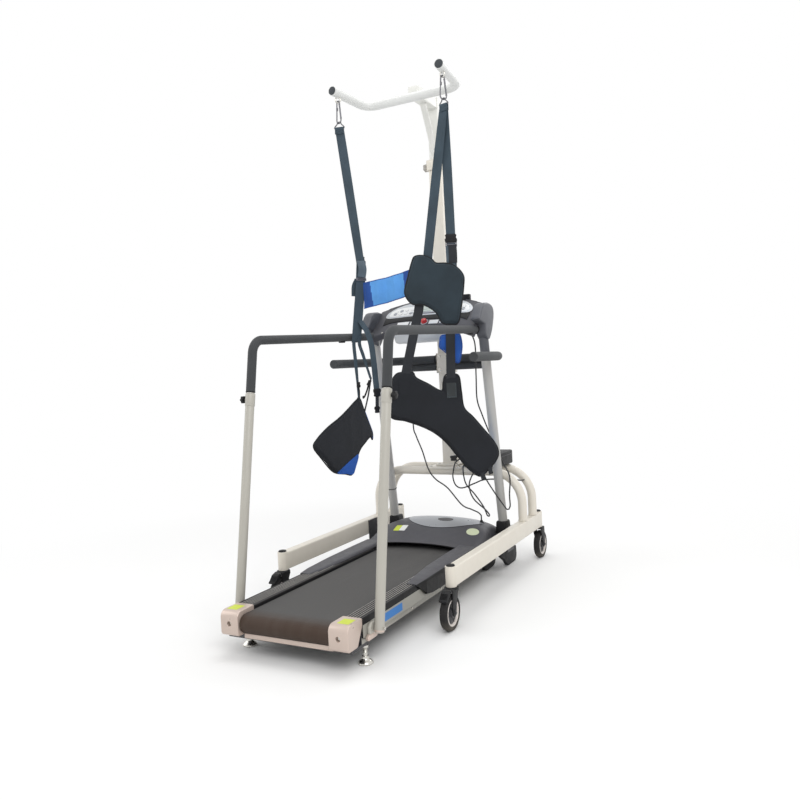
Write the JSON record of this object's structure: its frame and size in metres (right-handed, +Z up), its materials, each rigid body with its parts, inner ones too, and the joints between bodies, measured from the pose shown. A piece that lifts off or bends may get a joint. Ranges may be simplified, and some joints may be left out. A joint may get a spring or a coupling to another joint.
{
  "type": "gait trainer",
  "caption": "Treadmill gait trainer with long handrails and console, straddled by a castered suspension frame with lifting column, spreader bar and padded walking harness",
  "frame": {"origin": "middle of the footprint on the floor", "axes": "+X to the walker's right, +Y walking direction towards the hood and console, +Z up"},
  "size_m": [0.7676, 1.5715, 2.122],
  "materials": {
    "cream_paint": "smooth powder coat",
    "warm_grey_paint": "smooth powder coat",
    "light_grey_paint": "smooth powder coat",
    "dark_steel_paint": "satin paint",
    "bright_zinc": "bright zinc plating",
    "belt_rubber": "matte woven belt face",
    "black_plastic": "fine texture",
    "hood_plastic": "fine texture",
    "rail_plastic": "ribbed, satin",
    "cap_silver": "silver paint on moulding",
    "grip_foam": "soft foam grip",
    "board_laminate": "waxed laminate",
    "console_silver": "silver paint on moulding",
    "stop_red": "gloss",
    "tyre_rubber": "matte rubber",
    "strap_slate": "woven webbing",
    "pad_slate": "padded knit cloth",
    "pad_black": "padded knit cloth",
    "lining_blue": "soft lining",
    "cable_black": "cable jacket"
  },
  "bodies": {
    "frame": {"treadmill_frame": "dark_steel_paint", "deck_board": "board_laminate", "running_belt": "belt_rubber", "drive_belt": "tyre_rubber", "drive_motor": "dark_steel_paint", "hood": "hood_plastic", "front_stand": "black_plastic", "console_body": "hood_plastic", "console_panel": "console_silver", "arch_frame": "cream_paint", "outer_column": "cream_paint", "handle_frame": "grip_foam", "control_box": "black_plastic", "cable_console_left": "cable_black", "cable_box_loop": "cable_black", "cable_arch": "cable_black", "cable_console_right": "cable_black", "foot_rail_left": "rail_plastic", "end_cap_left": "cap_silver", "post_left": "warm_grey_paint", "handrail_left": "grip_foam", "upright_left": "light_grey_paint", "upright_boot_left": "black_plastic", "frame_leg_left": "cream_paint", "foot_rail_right": "rail_plastic", "end_cap_right": "cap_silver", "post_right": "warm_grey_paint", "handrail_right": "grip_foam", "upright_right": "light_grey_paint", "upright_boot_right": "black_plastic", "frame_leg_right": "cream_paint"},
    "lift": {"lift_column": "cream_paint", "spreader_bar": "cream_paint", "snap_hook_left": "bright_zinc", "snap_hook_right": "bright_zinc", "sling_left": "strap_slate", "sling_right": "strap_slate", "chest_pad": "pad_slate", "chest_band": "lining_blue", "hip_pad": "pad_black", "thigh_pad": "pad_black"},
    "rear_roller": {"rear_roller": "bright_zinc"},
    "front_roller": {"front_roller": "bright_zinc"},
    "motor_rotor": {"motor_pulley": "bright_zinc"},
    "stop_button": {"stop_button": "stop_red"},
    "column_knob": {"column_knob": "black_plastic"},
    "levelling_foot_left": {"levelling_foot_left": "bright_zinc"},
    "post_knob_left": {"post_knob_left": "black_plastic"},
    "brake_pedal_left": {"brake_pedal_left": "black_plastic"},
    "caster_rear_left": {"caster_fork_rear_left": "black_plastic"},
    "wheel_rear_left": {"caster_wheel_rear_left": "tyre_rubber"},
    "caster_front_left": {"caster_fork_front_left": "black_plastic"},
    "wheel_front_left": {"caster_wheel_front_left": "tyre_rubber"},
    "levelling_foot_right": {"levelling_foot_right": "bright_zinc"},
    "post_knob_right": {"post_knob_right": "black_plastic"},
    "brake_pedal_right": {"brake_pedal_right": "black_plastic"},
    "caster_rear_right": {"caster_fork_rear_right": "black_plastic"},
    "wheel_rear_right": {"caster_wheel_rear_right": "tyre_rubber"},
    "caster_front_right": {"caster_fork_front_right": "black_plastic"},
    "wheel_front_right": {"caster_wheel_front_right": "tyre_rubber"}
  },
  "joints": [
    {"name": "column_lift", "type": "slide", "parent": "frame", "child": "lift", "axis": [0, 0, 1], "range_m": [0, 0.3]},
    {"name": "front_roller_spin", "type": "hinge", "parent": "frame", "child": "front_roller", "pos_m": [0, 0.385, 0.11], "axis": [1, 0, 0], "continuous": true},
    {"name": "rear_roller_spin", "type": "hinge", "parent": "frame", "child": "rear_roller", "pos_m": [0, -0.75, 0.11], "axis": [1, 0, 0], "continuous": true},
    {"name": "motor_spin", "type": "hinge", "parent": "frame", "child": "motor_rotor", "pos_m": [-0.15, 0.48, 0.11], "axis": [1, 0, 0], "continuous": true},
    {"name": "stop_button_push", "type": "slide", "parent": "frame", "child": "stop_button", "axis": [0, 0.6561, -0.7547], "range_m": [0, 0.004], "stiffness_N_per_m": 400, "springref_m": -0.002},
    {"name": "column_knob_turn", "type": "hinge", "parent": "frame", "child": "column_knob", "pos_m": [-0.0343, 0.561, 1.823], "axis": [-1, 0, 0], "range_deg": [-720, 720]},
    {"name": "levelling_foot_left_turn", "type": "hinge", "parent": "frame", "child": "levelling_foot_left", "pos_m": [-0.2275, -0.666, 0.03], "axis": [0, 0, 1], "range_deg": [-180, 180]},
    {"name": "post_knob_left_turn", "type": "hinge", "parent": "frame", "child": "post_knob_left", "pos_m": [-0.2933, -0.52879, 0.827], "axis": [-1, 0, 0], "range_deg": [-720, 720]},
    {"name": "caster_rear_left_swivel", "type": "hinge", "parent": "frame", "child": "caster_rear_left", "pos_m": [-0.3585, -0.286, 0.149], "axis": [0, 0, 1], "continuous": true},
    {"name": "wheel_rear_left_roll", "type": "hinge", "parent": "caster_rear_left", "child": "wheel_rear_left", "pos_m": [-0.3585, -0.308, 0.0625], "axis": [1, 0, 0], "continuous": true},
    {"name": "caster_front_left_swivel", "type": "hinge", "parent": "frame", "child": "caster_front_left", "pos_m": [-0.3585, 0.701, 0.149], "axis": [0, 0, 1], "continuous": true},
    {"name": "wheel_front_left_roll", "type": "hinge", "parent": "caster_front_left", "child": "wheel_front_left", "pos_m": [-0.3585, 0.723, 0.0625], "axis": [1, 0, 0], "continuous": true},
    {"name": "brake_pedal_left_press", "type": "hinge", "parent": "caster_rear_left", "child": "brake_pedal_left", "pos_m": [-0.3585, -0.3246, 0.141], "axis": [1, 0, 0], "range_deg": [0, 7]},
    {"name": "levelling_foot_right_turn", "type": "hinge", "parent": "frame", "child": "levelling_foot_right", "pos_m": [0.2275, -0.666, 0.03], "axis": [0, 0, 1], "range_deg": [-180, 180]},
    {"name": "post_knob_right_turn", "type": "hinge", "parent": "frame", "child": "post_knob_right", "pos_m": [0.2933, -0.52879, 0.827], "axis": [1, 0, 0], "range_deg": [-720, 720]},
    {"name": "caster_rear_right_swivel", "type": "hinge", "parent": "frame", "child": "caster_rear_right", "pos_m": [0.3585, -0.286, 0.149], "axis": [0, 0, 1], "continuous": true},
    {"name": "wheel_rear_right_roll", "type": "hinge", "parent": "caster_rear_right", "child": "wheel_rear_right", "pos_m": [0.3585, -0.308, 0.0625], "axis": [1, 0, 0], "continuous": true},
    {"name": "caster_front_right_swivel", "type": "hinge", "parent": "frame", "child": "caster_front_right", "pos_m": [0.3585, 0.701, 0.149], "axis": [0, 0, 1], "continuous": true},
    {"name": "wheel_front_right_roll", "type": "hinge", "parent": "caster_front_right", "child": "wheel_front_right", "pos_m": [0.3585, 0.723, 0.0625], "axis": [1, 0, 0], "continuous": true},
    {"name": "brake_pedal_right_press", "type": "hinge", "parent": "caster_rear_right", "child": "brake_pedal_right", "pos_m": [0.3585, -0.3246, 0.141], "axis": [1, 0, 0], "range_deg": [0, 7]}
  ],
  "couplings": [
    {"joint": "rear_roller_spin", "follows": "front_roller_spin", "ratio": 1},
    {"joint": "motor_spin", "follows": "front_roller_spin", "ratio": 2.143}
  ]
}
